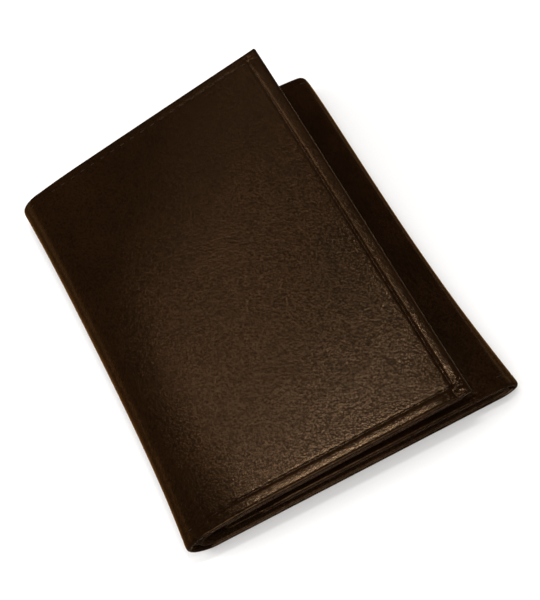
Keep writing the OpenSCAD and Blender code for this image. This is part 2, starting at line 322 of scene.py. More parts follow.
# One ply of leather or cloth. seams gives each free edge its distance to its stitches,
# or 0 without stitches. The dressed side is the one that shows.
def plyPiece(name, shell, sRange, yRange, seams, ply, material, sHoles, yHoles, slits=()):
    thickness, hem = ply["thickness"], ply.get("hem", 0)
    facing = ply.get("facing", 1)
    rim = (thickness + hem) / 2
    marks = []
    for holes, finer in ((sHoles, ply.get("sFiner", 2)), (yHoles, 2)):
        between = np.linspace(0, len(holes) - 1, finer * (len(holes) - 1) + 1)
        marks.append(np.interp(between, range(len(holes)), holes))
    slitS = [v for slit in slits for v in slit[:2]]
    slitY = [v for slit in slits for v in slit[2:]]
    sLines = gridLines(*sRange, seams.get("sLow"), seams.get("sHigh"), marks[0], rim, slitS)
    yLines = gridLines(*yRange, seams.get("yLow"), seams.get("yHigh"), marks[1], rim, slitY)
    s, y = np.meshgrid(sLines, yLines, indexing="ij")
    away = {
        "sLow": s - sRange[0],
        "sHigh": sRange[1] - s,
        "yLow": y - yRange[0],
        "yHigh": yRange[1] - y,
    }
    away = {side: away[side] for side in seams}
    edge = np.minimum.reduce(list(away.values()))
    flat = np.stack([s, y, np.zeros_like(s)], -1)

    sMoved, yMoved = s.copy(), y.copy()
    corners = [(a, b) for a in away for b in away if a[0] == "s" and b[0] == "y"]
    for sSide, ySide in corners:
        u = 1 - away[sSide] / ply["corner"]
        v = 1 - away[ySide] / ply["corner"]
        inside = (u > 0) & (v > 0)
        sShift = ply["corner"] * u * (1 - np.sqrt(np.clip(1 - v ** 2 / 2, 0, 1)))
        yShift = ply["corner"] * v * (1 - np.sqrt(np.clip(1 - u ** 2 / 2, 0, 1)))
        sMoved += np.where(inside, sShift if sSide == "sLow" else -sShift, 0)
        yMoved += np.where(inside, yShift if ySide == "yLow" else -yShift, 0)

    # a rounded rim, a plump band over the turned-in hem, and the groove the thread pulls
    rolled = rimFall(rim, edge)
    band, groove = np.zeros_like(s), np.zeros_like(s)
    farther = slackAt(y, ply)
    for side, seam in seams.items():
        if not seam:
            continue
        across = away[side]
        if side == ply.get("driftSide"):
            seam = seam + np.interp(s, *ply["drift"])
        beyondOthers = [away[k] - seams[k] for k in seams if k[0] != side[0]]
        inRow = 1
        if beyondOthers:
            inRow = smooth(np.minimum.reduce(beyondOthers) / grooveShape["rowEnd"] + 1)
        along, holes = (s, sHoles) if side[0] == "y" else (y, yHoles)
        atHole = 0.5 + 0.5 * np.cos(2 * math.pi * (along - holes[0]) / (holes[1] - holes[0]))
        strength = ply.get("sideStrength", {}).get(side, 1)
        if side[0] == "s":
            strength = strength * farther
        deep = grooveShape["betweenHoles"] + (1 - grooveShape["betweenHoles"]) * atHole
        pulled = np.exp(-((across - seam) / ply["grooveWidth"]) ** 2) * inRow * deep
        groove = np.maximum(groove, pulled * strength)
        crest = 1 - (1 - np.clip(across / (ply["crest"][0] * seam), 0, 1)) ** 2
        crest = crest * smooth((seam - across) / ((1 - ply["crest"][1]) * seam))
        crest = crest * (1 - ply.get("pinch", 0) * atHole * across / seam)
        band = np.maximum(band, crest * strength)
    relief = reliefAt(s, ply)
    groove = groove * grooveLeft(relief)
    raised = ply.get("band", 0) * band * relief - ply.get("groove", 0) * groove
    for sSide, ySide in corners if "pleats" in ply else []:
        u, v = away[sSide] - seams[sSide], away[ySide] - seams[ySide]
        pleats, out = ply["pleats"], np.hypot(u, v)
        close = smooth(1 - out / pleats["reach"]) * smooth(-np.minimum(u, v) / pleats["fade"])
        close = close * farther
        folds = np.sin(pleats["count"] * np.arctan2(v, u) + pleats["twistPerMm"] * out / mm)
        folds = folds * smooth(edge / pleats["fade"])
        raised += (pleats["depth"] * folds - pleats["press"]) * close
        # painted shade and duller gloss on the gathered corners
        groove = np.maximum(groove, pleats["dull"] * close)
    hemmed = hem * (1 - smooth((edge - rim) / (hemTaper * rim)))

    point, alongS, alongY, outward = shellFrame(shell, sMoved, yMoved)
    depth = np.interp(s, *ply["depth"]) if "depth" in ply else 0
    dressed = -depth - (thickness if facing < 0 else 0)
    upper = dressed + facing * (rolled + raised)
    lower = dressed - facing * (thickness + hemmed + rolled)
    upperPoints = (point + outward * upper[..., None]).reshape(-1, 3)
    lowerPoints = (point + outward * lower[..., None]).reshape(-1, 3)

    onRim = (edge < 1e-9).ravel()
    upperIndex = np.arange(s.size)
    lowerIndex = np.where(onRim, upperIndex, s.size + np.cumsum(~onRim) - 1)
    upperIndex, lowerIndex = upperIndex.reshape(s.shape), lowerIndex.reshape(s.shape)
    points = np.concatenate([upperPoints, lowerPoints[~onRim]])
    places = np.concatenate([flat.reshape(-1, 3), flat.reshape(-1, 3)[~onRim]])
    # the groove's share at each point, which the leather's material turns into painted shade and
    # duller gloss
    markLayer = np.concatenate([groove.ravel(), np.zeros((~onRim).sum())])
    atEdge = smooth(1 - edge.ravel() / edgeWear)
    atEdge = np.concatenate([atEdge, atEdge[~onRim]])

    faces = []

    def addFace(*ring):
        kept = list(dict.fromkeys(int(c) for c in ring[::facing]))
        if len(kept) > 2:
            faces.append(kept)

    # the cells that have leather, with none round the grid and none in a slit
    filled = np.zeros((len(sLines) + 1, len(yLines) + 1), bool)
    filled[1:-1, 1:-1] = True
    for sFrom, sTo, yFrom, yTo in slits:
        i0, i1, j0, j1 = (
            np.abs(lines - v).argmin() + 1
            for lines, v in ((sLines, sFrom), (sLines, sTo), (yLines, yFrom), (yLines, yTo))
        )
        filled[i0:i1, j0:j1] = False
    for i, j in np.argwhere(filled):
        a, b, c, d = (i - 1, j - 1), (i - 1, j), (i, j), (i, j - 1)
        addFace(upperIndex[a], upperIndex[b], upperIndex[c], upperIndex[d])
        addFace(lowerIndex[a], lowerIndex[d], lowerIndex[c], lowerIndex[b])
        sides = (((i - 1, j), b, a), ((i + 1, j), d, c), ((i, j - 1), a, d), ((i, j + 1), c, b))
        for beside, start, end in sides:
            if not filled[beside]:
                addFace(upperIndex[start], upperIndex[end], lowerIndex[end], lowerIndex[start])
    return meshPiece(name, points, faces, material, places, sewnDown=markLayer, atEdge=atEdge)


thread = {
    "length": 2.45 * mm,
    "width": 0.5 * mm,
    "height": 0.34 * mm,
    "sink": 0.34 * mm,  # how far each end dips into its hole
    "sides": 6,
    # the rings of a stitch from end to end: their places, thickness and share of the dip
    "rings": np.array([-1, -0.82, -0.4, 0.4, 0.82, 1]),
    "thick": np.array([0.5, 0.85, 1, 1, 0.85, 0.5]),
    "sunk": np.array([1, 0.5, 0.06, 0.06, 0.5, 1]),
    "inGroove": 0.25,  # its middle follows the groove down by this share
    "bedded": 0.45,  # of its height is pressed into the leather
    "looser": 0.15,  # less of it where the thread is slack
}


# One piece with a stitch at each of the centres
def threadPiece(name, centres, along, outward):
    side = np.cross(along, outward)
    rings, thick, sides = thread["rings"], thread["thick"][:, None], thread["sides"]
    angles = np.linspace(0, 2 * math.pi, sides, endpoint=False)
    lengthwise = np.repeat(rings, sides) * thread["length"] / 2
    sideways = (thick * np.cos(angles)).ravel() * thread["width"] / 2
    upward = (thick * np.sin(angles)).ravel() * thread["height"] / 2
    upward = upward - np.repeat(thread["sunk"], sides) * thread["sink"]
    points = (
        centres[:, None] + along[:, None] * lengthwise[:, None]
        + side[:, None] * sideways[:, None] + outward[:, None] * upward[:, None]
    )
    one = []
    for ring in range(len(rings) - 1):
        for k in range(sides):
            a, b = ring * sides + k, ring * sides + (k + 1) % sides
            one.append([a, b, b + sides, a + sides])
    last = (len(rings) - 1) * sides
    one += [list(range(sides))[::-1], list(range(last, last + sides))]
    perStitch = len(rings) * sides
    faces = [[v + n * perStitch for v in face] for n in range(len(centres)) for face in one]
    places = np.stack([
        np.tile(lengthwise, len(centres)),
        np.tile(np.tile(angles, len(rings)) * thread["width"] / 2, len(centres)),
        np.repeat(np.arange(len(centres)), perStitch) * mm,
    ], -1)
    return meshPiece(name, points.reshape(-1, 3), faces, bondedThread, places)


# The stitches of these seams within span. A row is (places along s, places along y, strength
# of the pull, drift of y along s), and one of the two has a single place.
def sewRows(name, shell, span, rows, ply):
    facing = ply.get("facing", 1)
    centres, directions, normals = [], [], []
    for sHoles, yHoles, strength, *drift in rows:
        sMid = (sHoles[1:] + sHoles[:-1]) / 2 if len(sHoles) > 1 else sHoles
        yMid = (yHoles[1:] + yHoles[:-1]) / 2 if len(yHoles) > 1 else yHoles
        s, y = np.broadcast_arrays(sMid, yMid)
        if drift:
            y = y + np.interp(s, *drift[0])
        kept = (s > span[0]) & (s < span[1])
        if not kept.any():
            continue
        point, alongS, alongY, outward = shellFrame(shell, s[kept], y[kept])
        relief = reliefAt(s[kept], ply)
        pull = strength * (slackAt(y[kept], ply) if len(sHoles) == 1 else 1)
        sunkIn = ply["groove"] * thread["inGroove"] * pull * grooveLeft(relief)
        sunkIn += thread["height"] * (thread["bedded"] - thread["looser"] * (1 - pull) * relief)
        dressed = -(ply["thickness"] if facing < 0 else 0) - facing * sunkIn
        centres.append(point + outward * dressed[:, None])
        directions.append(alongS if len(sHoles) > 1 else alongY)
        normals.append(outward * facing)
    return threadPiece(name, *(np.concatenate(v) for v in (centres, directions, normals)))


def sewShell(name, shell, cuts, rows, ply):
    for part, cut in cuts.items():
        attach(sewRows(name + part, shell, cut, rows, ply))


def anglesOf(loop):
    return np.arctan2(loop[:, 1], loop[:, 0])


def loopFrom(distances, angles):
    return np.stack([distances * np.cos(angles), distances * np.sin(angles)], -1)


# A loop round the centre of a frame, given as the distance from the centre in each direction
def distanceAround(loop):
    angles = np.unwrap(anglesOf(loop))
    distances = np.hypot(loop[:, 0], loop[:, 1])
    order = np.argsort(angles)
    return lambda a: np.interp(a, angles[order], distances[order], period=2 * math.pi)


# A rectangle with rounded corners and points at most about 1 mm apart
def roundedLoop(width, height, radius):
    points = []
    for quarter, (x, y) in enumerate(((1, 1), (-1, 1), (-1, -1), (1, -1))):
        turn = np.radians(np.linspace(0, 90, 9) + 90 * quarter)
        points.append(np.stack([
            x * (width / 2 - radius) + radius * np.cos(turn),
            y * (height / 2 - radius) + radius * np.sin(turn),
        ], -1))
    corners = np.concatenate(points)
    dense = []
    for start, end in zip(corners, np.roll(corners, -1, 0)):
        count = max(2, int(np.linalg.norm(end - start) / (1 * mm)) + 1)
        dense.append(np.linspace(start, end, count)[:-1])
    return np.concatenate(dense)


def middleOf(low, high):
    return (low.x + high.x) / 2, (low.y + high.y) / 2


# A flat leather frame round an opening, with both edges rounded and a seam beside each
def framePiece(name, centre, outline, opening, top, frameLook, material):
    facing, rim = frameLook["facing"], frameLook["thickness"] / 2
    angles = np.unique(np.round(np.concatenate([anglesOf(outline), anglesOf(opening)]), 3))
    outer, inner = distanceAround(outline)(angles), distanceAround(opening)(angles)
    seam, beside = frameLook["seam"], gridSteps["frameBesideSeamMm"]
    insets = np.array(edgeInsets(rim, gridSteps["framePastRim"], seam, beside))
    rolled = rimFall(rim, insets)
    groove = frameLook["groove"] * np.exp(-((insets - seam) / frameLook["grooveWidth"]) ** 2)
    middle = np.linspace(0, 1, 6)[1:-1, None]  # four loops between the two seams
    start, end = outer - insets[-1], inner + insets[-1]
    distances = np.concatenate([
        outer - insets[:, None],
        start * (1 - middle) + end * middle,
        (inner + insets[:, None])[::-1],
    ])
    flatMiddle = np.zeros(len(middle))
    rolledAll = np.concatenate([rolled, flatMiddle, rolled[::-1]])
    grooveAll = np.concatenate([groove, flatMiddle, groove[::-1]])
    upper = top + facing * (rolledAll - grooveAll)
    lower = top - facing * (frameLook["thickness"] + rolledAll)
    x = centre[0] + distances * np.cos(angles)
    y = centre[1] + distances * np.sin(angles)
    rows, columns = distances.shape
    upperPoints = np.stack([x, y, np.broadcast_to(upper[:, None], x.shape)], -1)
    lowerPoints = np.stack([x, y, np.broadcast_to(lower[:, None], x.shape)], -1)[1:-1]
    points = np.concatenate([upperPoints.reshape(-1, 3), lowerPoints.reshape(-1, 3)])
    upperIndex = np.arange(rows * columns).reshape(rows, columns)
    lowerIndex = upperIndex.copy()
    lowerIndex[1:-1] = rows * columns + np.arange((rows - 2) * columns).reshape(rows - 2, columns)
    faces = []
    for i in range(rows - 1):
        for j in range(columns):
            k = (j + 1) % columns
            face = [upperIndex[i, j], upperIndex[i, k], upperIndex[i + 1, k], upperIndex[i + 1, j]]
            under = [lowerIndex[i, j], lowerIndex[i + 1, j], lowerIndex[i + 1, k], lowerIndex[i, k]]
            for corners in (face, under):
                faces.append([int(c) for c in corners[::facing]])
    # the seam grooves' share at each point, which the leather's material turns into painted shade
    # and duller gloss
    markLayer = np.broadcast_to(grooveAll[:, None] / frameLook["groove"], x.shape)
    markLayer = np.concatenate([markLayer.ravel(), markLayer[1:-1].ravel()])
    flat = points.copy()
    flat[:, 2] = 0
    return meshPiece(name, points, faces, material, flat, sewnDown=markLayer)


# The seams beside the outline and the opening of a frame
def sewFrame(name, centre, outline, opening, top, frameLook):
    angles = np.linspace(0, 2 * math.pi, 4 * 360 + 1)
    shortWay = 0.3 * mm  # each side of a stitch, for its direction
    height = top + frameLook["facing"] * frameLook["threadLift"]
    sewn = []
    for edge, loop, inward in (("_outline", outline, -1), ("_opening", opening, 1)):
        path = loopFrom(distanceAround(loop)(angles) + inward * frameLook["seam"], angles)
        run = np.concatenate([[0], np.cumsum(np.linalg.norm(np.diff(path, axis=0), axis=1))])
        count = round(run[-1] / wallet["stitchPitch"])
        at = (np.arange(count) + 0.5) / count * run[-1]
        ahead, behind = (
            np.stack([np.interp(at + way, run, path[:, k], period=run[-1]) for k in (0, 1)], -1)
            for way in (shortWay, -shortWay)
        )
        middles = (ahead + behind) / 2 + np.array(centre)
        centres = np.concatenate([middles, np.full((count, 1), height)], 1)
        along = np.concatenate([unit(ahead - behind), np.zeros((count, 1))], 1)
        outward = np.tile([0.0, 0.0, float(frameLook["facing"])], (count, 1))
        sewn.append(threadPiece(name + edge, centres, along, outward))
    return sewn


# Materials. Every colour is an sRGB hex value.
def toLinear(hexColour):
    values = [int(hexColour[i:i + 2], 16) / 255 for i in (1, 3, 5)]
    return [v / 12.92 if v <= 0.04045 else ((v + 0.055) / 1.055) ** 2.4 for v in values] + [1]


def newMaterial(name):
    material = bpy.data.materials.new(name)
    material.use_nodes = True
    tree = material.node_tree
    return material, tree, tree.nodes["Principled BSDF"]


# An output of another node is linked, and a plain value is set on the node's own socket.
def setInputs(tree, node, inputs):
    for key, value in inputs.items():
        if isinstance(value, bpy.types.NodeSocket):
            tree.links.new(value, node.inputs[key])
        else:
            node.inputs[key].default_value = value


def addNode(tree, kind, settings=None, inputs=None):
    node = tree.nodes.new(kind)
    for key, value in (settings or {}).items():
        setattr(node, key, value)
    setInputs(tree, node, inputs or {})
    return node


def readAttribute(tree, name, output="Fac"):
    return addNode(tree, "ShaderNodeAttribute", {"attribute_name": name}).outputs[output]


def addMath(tree, operation, *values, **settings):
    settings["operation"] = operation
    return addNode(tree, "ShaderNodeMath", settings, dict(enumerate(values))).outputs[0]


def addRange(tree, value, given, wanted, **settings):
    return addNode(tree, "ShaderNodeMapRange", settings, {
        "Value": value, "From Min": given[0], "From Max": given[1],
        "To Min": wanted[0], "To Max": wanted[1],
    }).outputs[0]


def addNoise(tree, place, sizeMm, detail, roughness=0.5):
    return addNode(tree, "ShaderNodeTexNoise", inputs={
        "Vector": place, "Scale": 1 / sizeMm, "Detail": detail, "Roughness": roughness,
    }).outputs["Fac"]


def mixColours(tree, factor, *colours):
    first, second = (toLinear(c) if isinstance(c, str) else c for c in colours)
    return addNode(tree, "ShaderNodeMix", {"data_type": "RGBA"}, {
        0: factor, 6: first, 7: second,
    }).outputs[2]


def addBump(tree, height, strength, deepMm, **settings):
    return addNode(tree, "ShaderNodeBump", settings, {
        "Height": height, "Strength": strength, "Distance": deepMm * mm,
    }).outputs["Normal"]


# Colour and relief both follow the pattern.
def setPattern(tree, shader, pattern, look):
    setInputs(tree, shader, {
        "Base Color": mixColours(tree, pattern, look["dark"], look["light"]),
        "Roughness": look["roughness"],
        "Specular IOR Level": look["gloss"],
        "Normal": addBump(tree, pattern, look["relief"], look["deepMm"]),
    })


noiseRange = (0.3, 0.7)  # where the values of a noise mostly lie


# Pebbled cowhide, dyed through and finished semi-gloss: the eye sees glossy pebbles with painted
# shade in the tiny creases round them and in the stitch grooves, holes and gathered corners,
# pebbles which get flatter towards the far end, a slow mottling of the dye and a broad soft
# highlight. From low down the finish is hazy, amber on the folds and the panels and greyer along
# the cut edges.
def makeLeather(name, look):
    material, tree, shader = newMaterial(name)
    place = readAttribute(tree, "flatPlace", "Vector")
    # the groove's share at each point, for painted shade and duller gloss in grooves, holes and
    # gathered corners
    sewn = readAttribute(tree, "sewnDown")
    pebbles = addNode(tree, "ShaderNodeTexVoronoi", {"feature": "SMOOTH_F1"}, {
        "Vector": place, "Scale": 1 / look["pebbleMm"], "Smoothness": 0.5, "Randomness": 1.0,
    }).outputs["Distance"]
    fine = addNoise(tree, place, look["fineMm"], 3, 0.6)
    cloudy = addNoise(tree, place, look["cloudMm"], 5, 0.55)
    dye = addNode(tree, "ShaderNodeValToRGB", inputs={"Fac": cloudy})
    for element, at, key in zip(dye.color_ramp.elements, look["mottling"], ("dark", "light")):
        element.position = at
        element.color = toLinear(look[key])
    # painted shade: the creases round the pebbles, and with them the stitch grooves, holes and
    # gathered corners, are mixed towards a near-black colour
    creaseShade = addRange(tree, pebbles, look["creased"], (0, look["creaseShare"]))
    paintedShade = addMath(tree, "MAXIMUM", creaseShade, sewn)
    flat = addNode(tree, "ShaderNodeSeparateXYZ", inputs={"Vector": place}).outputs
    ironing = (1, look["ironed"])
    plump = addRange(tree, flat["Y"], look["plumpToMm"], ironing, interpolation_type="SMOOTHSTEP")
    contrast = [look[key] - look["polish"] for key in ("glossyTops", "dullCreases")]
    uneven = addRange(tree, pebbles, look["dulled"], contrast)
    polish = addMath(tree, "MULTIPLY_ADD", uneven, plump, look["polish"])
    glossOutsideGrooves = addMath(tree, "MULTIPLY_ADD", sewn, -look["dullSeams"], 1.0, use_clamp=True)
    height = addMath(tree, "MULTIPLY_ADD", fine, -look["fineShare"], pebbles)
    atEdge = readAttribute(tree, "atEdge")
    setInputs(tree, shader, {
        "Base Color": mixColours(tree, paintedShade, dye.outputs["Color"], look["paintedShadeColour"]),
        "Roughness": addRange(tree, fine, noiseRange, look["roughness"]),
        "Specular IOR Level": addMath(tree, "MULTIPLY", polish, glossOutsideGrooves),
        "Specular Tint": toLinear(look["glossTint"]),
        "Sheen Weight": addRange(tree, flat["X"], look["leafMm"], (look["haze"], look["leafHaze"])),
        "Sheen Roughness": look["hazeSpread"],
        "Sheen Tint": mixColours(tree, atEdge, look["hazeTint"], look["edgeTint"]),
        "Normal": addBump(tree, height, plump, look["deepMm"], invert=True),
        "IOR": 1.5,
    })
    return material


cowhideLook = {
    "dark": "#150a03",
    "light": "#1e0f05",
    # painted shade: the near-black colour of the pebbles' creases, the stitch grooves and holes and
    # the gathered corners
    "paintedShadeColour": "#0a0401",
    "glossTint": "#ffd3a6",
    "pebbleMm": 0.44,
    "deepMm": 0.03,
    "fineMm": 0.22,
    "fineShare": 0.5,  # how high the fine grain is, next to the pebbles
    "cloudMm": 14,
    "mottling": (0.3, 0.72),  # where in the mottling the dye is darkest and lightest
    "creased": (0.35, 0.8),  # the creases begin and end this far out, in pebbles
    "creaseShare": 0.7,  # how much of the painted shade colour they take
    "roughness": (0.15, 0.27),
    "polish": 0.5,  # of leather without pebbles
    "glossyTops": 0.95,
    "dullCreases": 0.25,
    "dulled": (0.15, 0.6),  # the gloss of a pebble fades this far out, in pebbles
    "dullSeams": 0.85,
    "plumpToMm": (-5, 42),  # the pebbles get flatter from near to far between these
    "ironed": 0.3,  # what is left of them
    "haze": 0.6,
    "hazeSpread": 0.3,
    "hazeTint": "#d99440",
    "edgeTint": "#bfa68c",
    "leafHaze": 0.25,
    "leafMm": (51, 59),  # the leaf's own haze begins between these
}
pebbledCowhide = makeLeather("pebbledCowhideSemiGloss", cowhideLook)
# Calf skin, dyed the same and polished: the eye sees a finer, flatter grain, a little
# lighter, with a softer shine.
smoothCalf = makeLeather("smoothCalfPolished", {
    **cowhideLook,
    "dark": "#1f130a",
    "light": "#291a0f",
    "pebbleMm": 0.35,
    "deepMm": 0.02,
    "roughness": (0.29, 0.41),
    "haze": 0.25,
})

waveScale = 0.31  # of a wave texture whose bands are 1 mm apart


# Woven polyester lining: the eye sees a matt, fine plain weave.
def makeLining(name, look):
    material, tree, shader = newMaterial(name)
    place = readAttribute(tree, "flatPlace", "Vector")
    rows = [
        addNode(tree, "ShaderNodeTexWave", {"bands_direction": direction}, {
            "Vector": place, "Scale": waveScale / look["threadMm"], "Distortion": 0.4,
        }).outputs["Fac"]
        for direction in ("X", "Y")
    ]
    setPattern(tree, shader, addMath(tree, "MULTIPLY", *rows), look)
    return material


wovenLining = makeLining("wovenPolyesterLining", {
    "dark": "#35261a",
    "light": "#5c452e",
    "threadMm": 0.3,
    "relief": 0.5,
    "deepMm": 0.05,
    "roughness": 0.85,
    "gloss": 0.5,
})


# Bonded polyester thread: the eye sees twisted, slightly waxy strands as dark as the leather.
def makeThread(name, look):
    material, tree, shader = newMaterial(name)
    strands = addNode(tree, "ShaderNodeTexWave", {"bands_direction": "DIAGONAL"}, {
        "Vector": readAttribute(tree, "flatPlace", "Vector"),
        "Scale": waveScale / look["strandMm"],
    }).outputs["Fac"]
    setPattern(tree, shader, strands, look)
    return material


bondedThread = makeThread("bondedPolyesterThread", {
    "dark": "#150b05",
    "light": "#332215",
    "strandMm": 0.22,
    "relief": 0.6,
    "deepMm": 0.05,
    "roughness": 0.5,
    "gloss": 0.2,
})


# Greyboard, pressed from waste paper: the eye sees a matt surface with faint flecks.
def makeBoard(name, look):
    material, tree, shader = newMaterial(name)
    place = addNode(tree, "ShaderNodeTexCoord").outputs["Object"]
    flecks = addNoise(tree, place, look["fleckMm"] * mm, 4)
    setInputs(tree, shader, {
        "Base Color": mixColours(tree, flecks, look["dark"], look["light"]),
        "Roughness": look["roughness"],
    })
    return material


pressedBoard = makeBoard("pressedGreyboard", {
    "dark": "#6b6257",
    "light": "#8d8375",
    "fleckMm": 0.8,
    "roughness": 0.9,
})


# Calendered clear vinyl: the eye sees through it, and a faint waviness breaks up its gloss.
def makeFilm(name, look):
    material, tree, shader = newMaterial(name)
    place = addNode(tree, "ShaderNodeTexCoord").outputs["Object"]
    waves = addNoise(tree, place, look["waveMm"] * mm, 2)
    setInputs(tree, shader, {
        "Base Color": toLinear(look["tint"]),
        "Roughness": addRange(tree, waves, (0, 1), look["roughness"]),
        "Transmission Weight": 1,
        "Normal": addBump(tree, waves, look["relief"], look["deepMm"]),
        "IOR": 1.53,
    })
    return material


clearFilm = makeFilm("calenderedClearVinyl", {
    "tint": "#f3f6f4",
    "waveMm": 14,
    "relief": 0.4,
    "deepMm": 0.3,
    "roughness": (0.05, 0.16),
})


# Each free edge of a shell's part, with the distance to its stitches
def seamsOf(part, near, far, free):
    sEdges = {"flap": {"sLow": free}, "leaf": {"sHigh": free}}
    return {"yLow": near, "yHigh": far, **sEdges.get(part, {})}


# The solids that a part of a shell stands for: one of a panel and one of a fold
def nodesOf(part, panel, fold):
    return [part.split("_")[0] + panel, ("leaf" if "leaf" in part else "flap") + fold]


# The outer leather
outerLeather = {
    "thickness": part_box("back_outer_leather")[1].z,
    "hem": 0.35 * mm,
    "corner": 0.6 * mm,
    "nearSeam": 3.1 * mm,  # from each edge to its stitches
    "freeSeam": 3.45 * mm,
    "farSeam": 2.5 * mm,
    "band": 0.32 * mm,
    "crest": (0.6, 0.74),  # the band is highest between these shares of the way to the seam
    "groove": 0.42 * mm,
    "grooveWidth": 0.3 * mm,
    "pinch": 0.5,  # how far each hole pulls the band down
    # how tightly the near and the far edge are sewn, and the free edges at their far end
    "sideStrength": {"yLow": 0.65, "yHigh": 0.04},
    "farStrength": 0.12,
    # how the leather is gathered at the free corners, with painted shade and duller gloss there
    "pleats": {
        "depth": 0.13 * mm, "count": 9, "twistPerMm": 2, "reach": 5.5 * mm, "fade": 1 * mm,
        "press": 0.35 * mm, "dull": 0.8,
    },
    "sFiner": 3,  # lines of the grid for each stitch along s
}
leafLift, flapLift = liftOf(outerShell["leaf"]), liftOf(outerShell["flap"])
# the relief in six places from the flap to the leaf, with none on the back
outerLeather["relief"] = (
    [flapLift - 6 * mm, flapLift + 2 * mm, outerShell["flap"]["x"], outerShell["leaf"]["x"],
     leafLift - 2 * mm, leafLift + 6 * mm],
    [1, 0.12, 0, 0, 0.12, 0.5],
)
outerEnds = sEndsOf(outerShell)
outerCuts = cutsOf(outerShell, *outerEnds)
outerS = holesBetween(*outerEnds, outerLeather["freeSeam"])
outerY = holesBetween(*yEnds, outerLeather["nearSeam"], outerLeather["farSeam"])
# on the leaf the near row runs closer to the edge, so that it shows below the flap
leafRow = ([leafLift, leafLift + 6 * mm], [0, -1.65 * mm])
leafLeather = {**outerLeather, "driftSide": "yLow", "drift": (leafRow[0], [-leafRow[1][1], 0])}
for part, cut in outerCuts.items():
    seams = seamsOf(part, *(outerLeather[key] for key in ("nearSeam", "farSeam", "freeSeam")))
    if part == "leaf":
        seams["yLow"] += leafRow[1][1]
    piece = plyPiece(
        "leather_outer_" + part, outerShell, cut, yEnds, seams,
        leafLeather if part == "leaf" else outerLeather, pebbledCowhide, outerS, outerY,
    )
    attach(piece)
    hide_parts(*nodesOf(part, "_outer_leather", "_fold_outer_leather"))
print("outer leather made")

outerRows = [
    (outerS, outerY[:1], outerLeather["sideStrength"]["yLow"], leafRow),
    (outerS, outerY[-1:], outerLeather["sideStrength"]["yHigh"]),
    (outerS[:1], outerY, 1),
    (outerS[-1:], outerY, 1),
]
sewShell("thread_outer_", outerShell, outerCuts, outerRows, outerLeather)
print("outer seams sewn")

# The lining, glued to the outer leather's flesh side
lining = {
    "thickness": 0.2 * mm,
    "setIn": 1.5 * mm,
    "corner": 1.5 * mm,
    "facing": -1,  # its dressed side faces into the wallet
}
liningEnds = sEndsOf(liningShell, lining["setIn"])
liningY = (nearY + lining["setIn"], farY - lining["setIn"])
# it dips below the stiffener board on the leaf
underBoard = liningShell["leaf"]["top"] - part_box("leaf_bill_lining")[1].z
leafTangent = leafToS(liningShell, liningShell["leaf"]["x"])
lining["depth"] = ([leafTangent - 1 * mm, leafTangent + 1 * mm], [0, underBoard])
for part, cut in cutsOf(liningShell, *liningEnds).items():
    piece = plyPiece(
        "lining_" + part, liningShell, cut, liningY, seamsOf(part, 0, 0, 0), lining, wovenLining,
        holesBetween(*liningEnds), holesBetween(*liningY),
    )
    attach(piece)
    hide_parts(*nodesOf(part, "_bill_lining", "_fold_lining"))
print("lining laid")

# The inner leather, whose dressed side faces into the wallet
innerLeather = {
    "thickness": 0.55 * mm,
    "hem": 0.3 * mm,
    "setIn": 0.45 * mm,
    "nearSetIn": 0.2 * mm,
    "corner": 1.3 * mm,
    "edgeSeam": 2.6 * mm,
    "band": 0.12 * mm,
    "crest": (0.5, 0.5),
    "groove": 0.22 * mm,
    "grooveWidth": 0.4 * mm,
    "facing": -1,
    "sFiner": 3,
}
innerEnds = sEndsOf(innerShell, innerLeather["setIn"])
innerCuts = cutsOf(innerShell, *innerEnds)
innerRange = (nearY + innerLeather["nearSetIn"], farY - innerLeather["setIn"])
innerS = holesBetween(*innerEnds, innerLeather["edgeSeam"])
innerY = holesBetween(*innerRange, innerLeather["edgeSeam"])
# the two slits on the leaf that a badge's clip goes through
clipSlit = {"length": 10 * mm, "width": 1.6 * mm, "apart": 24 * mm}
slitX = middleOf(*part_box("badge_frame"))[0]
slitS = [leafToS(innerShell, slitX + d * clipSlit["length"] / 2) for d in (1, -1)]
slits = []
for d in (-1, 1):
    slitY = d * clipSlit["apart"] / 2
    slits.append((*slitS, slitY - clipSlit["width"] / 2, slitY + clipSlit["width"] / 2))
for part, cut in innerCuts.items():
    piece = plyPiece(
        "leather_inner_" + part, innerShell, cut, innerRange,
        seamsOf(part, *[innerLeather["edgeSeam"]] * 3), innerLeather, smoothCalf,
        innerS, innerY, slits if part == "leaf" else (),
    )
    attach(piece)
    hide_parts(*nodesOf(part, "_inner_panel", "_fold_inner_leather"))
innerRows = [(innerS, innerY[:1], 1), (innerS, innerY[-1:], 1)]
innerRows += [(innerS[:1], innerY, 1), (innerS[-1:], innerY, 1)]
sewShell("thread_inner_", innerShell, innerCuts, innerRows, innerLeather)
print("inner leather made and sewn")

# The identity window: clear film glued under a leather frame with a thumb notch
low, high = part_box("id_window_frame")
filmLow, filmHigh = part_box("id_window_film")
windowFrame = {
    "thickness": high.z - low.z,
    "corner": 1.5 * mm,
    "filmLap": 4 * mm,
    "openingCorner": 4 * mm,
    "thumbRadius": 7 * mm,
    "seam": 2.0 * mm,
    "groove": 0.18 * mm,
    "grooveWidth": 0.35 * mm,
    "threadLift": 0.02 * mm,
    "facing": 1,
}
windowCentre = middleOf(low, high)
windowOutline = roundedLoop(high.x - low.x, high.y - low.y, windowFrame["corner"])
openWide = filmHigh.x - filmLow.x - 2 * windowFrame["filmLap"]
openHigh = filmHigh.y - filmLow.y - 2 * windowFrame["filmLap"]
plainOpening = roundedLoop(openWide, openHigh, windowFrame["openingCorner"])
